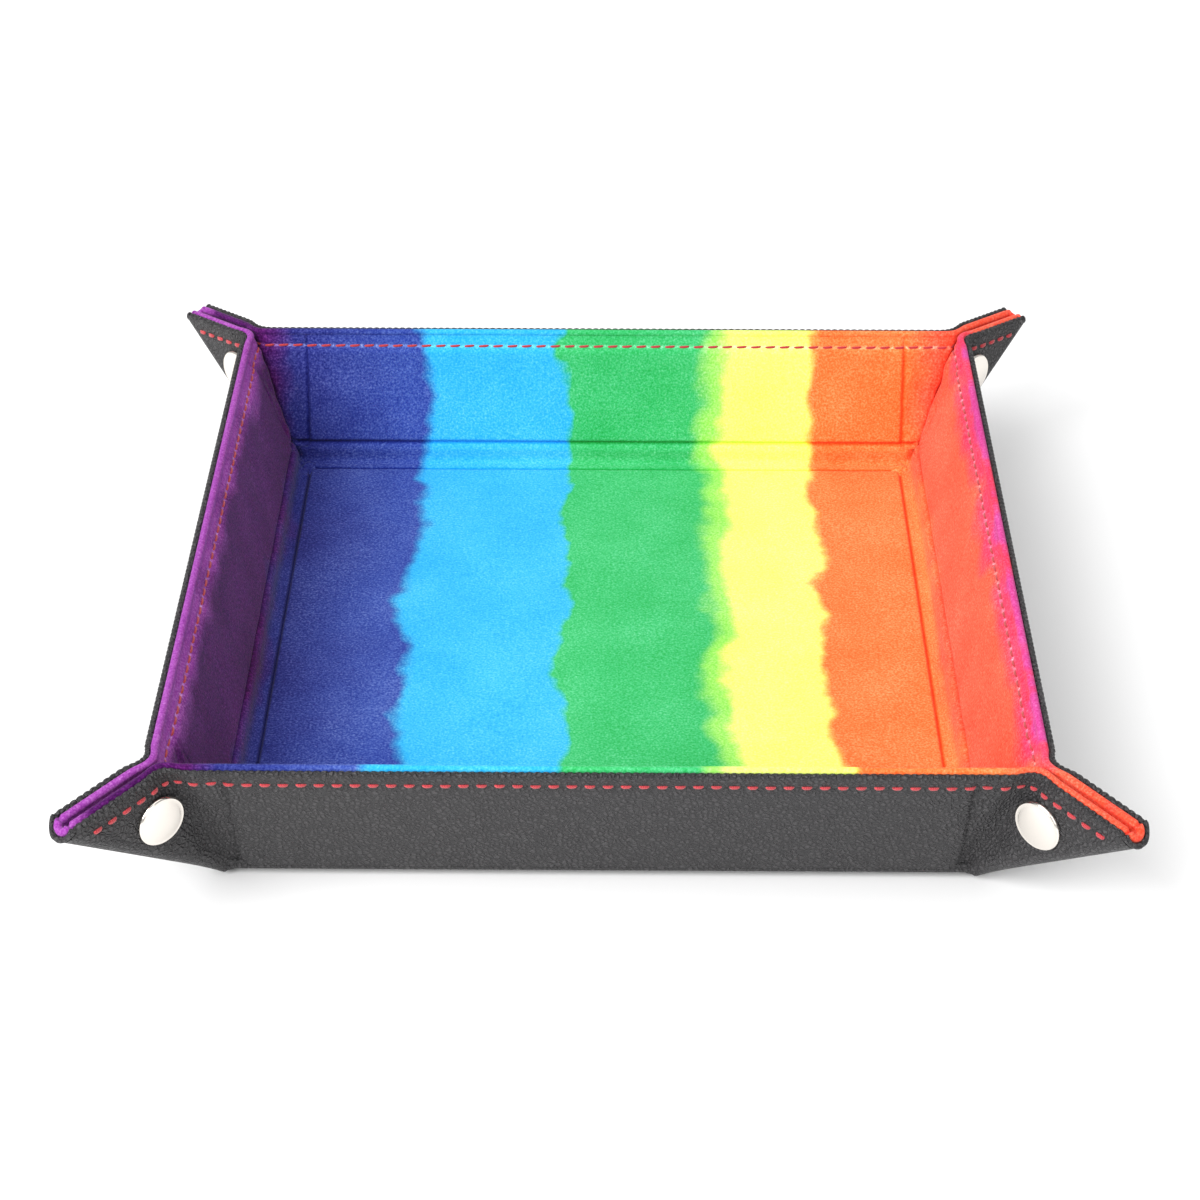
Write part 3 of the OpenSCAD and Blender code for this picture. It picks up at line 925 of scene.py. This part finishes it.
def make_stitches(wall, side):
    turn = WALLS[wall]
    flap = FLAPS[wall, side]
    start, end = crease_ends(turn, side)
    last = FOLD_LINE + STITCH_ROW - 1.4
    centres = np.arange(STITCH_PITCH / 2, last, STITCH_PITCH)
    row = np.full_like(centres, STITCH_ROW)
    outside = leather_face(centres, row, turn + 60) - 0.12
    inside = velvet_top(centres, row, turn + 40) + 0.10
    stitches = {}
    for kind, heights, width, thick, length, lean in (
        ("leather", outside, 1.2, -0.75, STITCH_LENGTH, 0.12 * side),
        ("velvet", inside, 0.7, 0.55, INNER_STITCH_LENGTH, -0.25 * side),
    ):
        points, faces = stitch_mesh(centres, heights, width, thick, length, lean)
        name = f"{flap}_{kind}_stitches"
        piece = make(name, skin_rest(points), faces, points, THREAD, turn, side)
        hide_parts(f"{wall}_thread", f"{flap}_thread")
        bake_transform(piece)
        stitches[kind] = piece
    return stitches


# ---------------------------------------------------------------- snaps
def lathe(name, profile, wall, side, material, node):
    """A turned part on a flap, from (radius, height) points. The first and last lie on the axis, or the
    profile is a ring's whole outline."""
    segments = 48
    angles = np.arange(segments) * 2 * math.pi / segments
    closed = profile[0][0] == 0
    rings = profile[1:-1] if closed else profile
    along, across, height = [], [], []
    for radius, v in rings:
        along += list(SNAP_ALONG + radius * np.cos(angles))
        across += list(SNAP_ACROSS + radius * np.sin(angles))
        height += [v] * segments
    count = len(rings)
    top = (count - 1) * segments
    faces = grid_faces(count, segments, wrap=True)
    if closed:
        for v in (profile[0][1], profile[-1][1]):
            along.append(SNAP_ALONG)
            across.append(SNAP_ACROSS)
            height.append(v)
        first, last = count * segments, count * segments + 1
        for j in range(segments):
            k = (j + 1) % segments
            faces.append((first, j, k))
            faces.append((last, top + k, top + j))
    else:
        for j in range(segments):
            k = (j + 1) % segments
            faces.append((top + j, top + k, k, j))
    flat = flap_flat(np.array(along), np.array(across), np.array(height))
    piece = make(name, flap_rest(flat), faces, flat, material, WALLS[wall], side, 35)
    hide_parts(node)
    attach(piece, FLAPS[wall, side])


def arc(centre_r, centre_v, radius, start, end, steps):
    """Points of a round stretch of a turned part's outline, angles in degrees."""
    angles = np.radians(np.linspace(start, end, steps))
    return [(centre_r + radius * math.cos(a), centre_v + radius * math.sin(a)) for a in angles]


def cap_profile():
    """Domed cap with a rolled edge, from the middle of the dome round to the barrel."""
    dome = [(0, -5.8)]
    for r in np.linspace(0.7, 5.6, 9):
        dome.append((float(r), -5.8 + 0.95 * (float(r) / 6.25) ** 2.4))
    edge = arc(5.55, -4.5, 0.7, -62, 60, 7)
    return dome + edge + [(5.0, -4.02), (1.7, -4.02), (1.7, -1.81), (0, -1.81)]


def socket_profile():
    """Flat ring with a raised collar that takes the stud."""
    outline = [(2.5, -1.8), (5.0, -1.8)]
    outline += arc(5.0, -1.55, 0.25, -90, 90, 5)
    outline += [(4.2, -1.2), (3.9, -0.9), (3.75, 0.4)]
    outline += arc(3.4, 0.45, 0.35, 0, 90, 4)
    outline += [(2.9, 0.8)] + arc(2.75, 0.55, 0.25, 90, 180, 4)
    return outline


def stud_profile():
    """Round plate with a waisted knob."""
    knob = [(0, -1.8), (4.5, -1.8)] + arc(4.5, -1.6, 0.2, -90, 90, 5)
    knob += [(2.3, -1.2), (1.75, -1.0), (1.7, -0.3), (2.0, 0.2)]
    return knob + arc(1.55, 0.5, 0.5, -20, 90, 6) + [(0, 1.0)]


def post_profile():
    """Rolled ring behind the stud, with its barrel."""
    outline = [(0, -3.9), (0.85, -3.95), (0.95, -4.6), (1.3, -4.75)]
    outline += [(2.2, -4.35), (3.4, -4.3)]
    outline += arc(4.1, -4.35, 0.38, -110, 60, 6)
    return outline + [(3.6, -4.02), (1.7, -4.02), (1.7, -1.81), (0, -1.81)]


def make_snaps(wall, side):
    flap = FLAPS[wall, side]
    corner = CORNERS[flap]
    if flap in CAPPED:
        lathe(f"{corner}_domed_cap", cap_profile(), wall, side, CAP_METAL, f"{corner}_cap")
        lathe(f"{corner}_ring_socket", socket_profile(), wall, side, SNAP_METAL,
              f"{corner}_socket")
    else:
        lathe(f"{corner}_stud_knob", stud_profile(), wall, side, SNAP_METAL,
              f"{corner}_stud")
        lathe(f"{corner}_ring_post", post_profile(), wall, side, SNAP_METAL,
              f"{corner}_post")


# ---------------------------------------------------------------- studio
def make_stage():
    """A sheet of white paper that curves up behind the tray, in metres."""
    reach, back, rise, radius = 6.0, 1.2, 2.5, 0.8
    profile = [(-reach, 0.0), (back, 0.0)]
    for a in np.linspace(0, math.pi / 2, 12)[1:]:
        profile.append((back + radius * math.sin(a), radius * (1 - math.cos(a))))
    profile.append((back + radius, rise))
    points = [(x, y, z) for y, z in profile for x in (-reach, reach)]
    faces = [(2 * i, 2 * i + 1, 2 * i + 3, 2 * i + 2) for i in range(len(profile) - 1)]
    mesh = bpy.data.meshes.new("studio_floor")
    mesh.from_pydata(points, [], faces)
    mesh.polygons.foreach_set("use_smooth", [True] * len(faces))
    floor = bpy.data.objects.new("studio_floor", mesh)
    bpy.context.scene.collection.objects.link(floor)
    material, _, _, shader = new_material("white_paper")
    shader.inputs["Base Color"].default_value = (0.93, 0.93, 0.93, 1)
    shader.inputs["Roughness"].default_value = 0.9
    mesh.materials.append(material)


def add_softbox(name, place, size, power):
    """A square softbox aimed at the tray, in metres and watts."""
    data = bpy.data.lights.new(name, "AREA")
    data.shape = "RECTANGLE"
    data.size = data.size_y = size
    data.energy = power
    light = bpy.data.objects.new(name, data)
    light.location = place
    light.rotation_euler = (-Vector(place)).to_track_quat("-Z", "Y").to_euler()
    bpy.context.scene.collection.objects.link(light)


def make_studio():
    make_stage()
    world = bpy.data.worlds.new("studio")
    world.use_nodes = True
    background = world.node_tree.nodes["Background"]
    background.inputs["Color"].default_value = (1, 1, 1, 1)
    background.inputs["Strength"].default_value = 0.5
    bpy.context.scene.world = world
    add_softbox("key_softbox", (-0.9, -0.85, 1.0), size=1.1, power=29)
    add_softbox("front_softbox", (0.4, -1.2, 0.8), size=1.0, power=4)
    add_softbox("top_softbox", (0.1, 0.2, 1.6), size=1.6, power=8)
    bpy.context.scene.view_settings.view_transform = "Standard"


def make_camera():
    """The photo's own view, as fitted to it."""
    data = bpy.data.cameras.new("camera")
    data.sensor_width = 36
    data.lens = 83.58
    camera = bpy.data.objects.new("camera", data)
    camera.location = (0.00456, -0.5996, 0.4276)
    camera.rotation_euler = Euler((math.radians(90 - 34.41), 0, math.radians(0.5)))
    bpy.context.scene.collection.objects.link(camera)
    bpy.context.scene.camera = camera


# ---------------------------------------------------------------- the whole tray
make_camera()
make_studio()
EDGE_BUILDERS = (make_root, make_hems, make_fold_edge, make_tip, make_stitches)
floor = make_floor()
for wall in WALLS:
    make_strip(wall)
    make_corner(wall)
    for side in (1, -1):
        skins = make_skin(wall, side)
        edges = [build(wall, side) for build in EDGE_BUILDERS]
        make_snaps(wall, side)
for name, node in frame["nodes"].items():
    if name.endswith("_board") or name.endswith("_board_panel"):
        node.data.materials.clear()
        node.data.materials.append(BOARD)
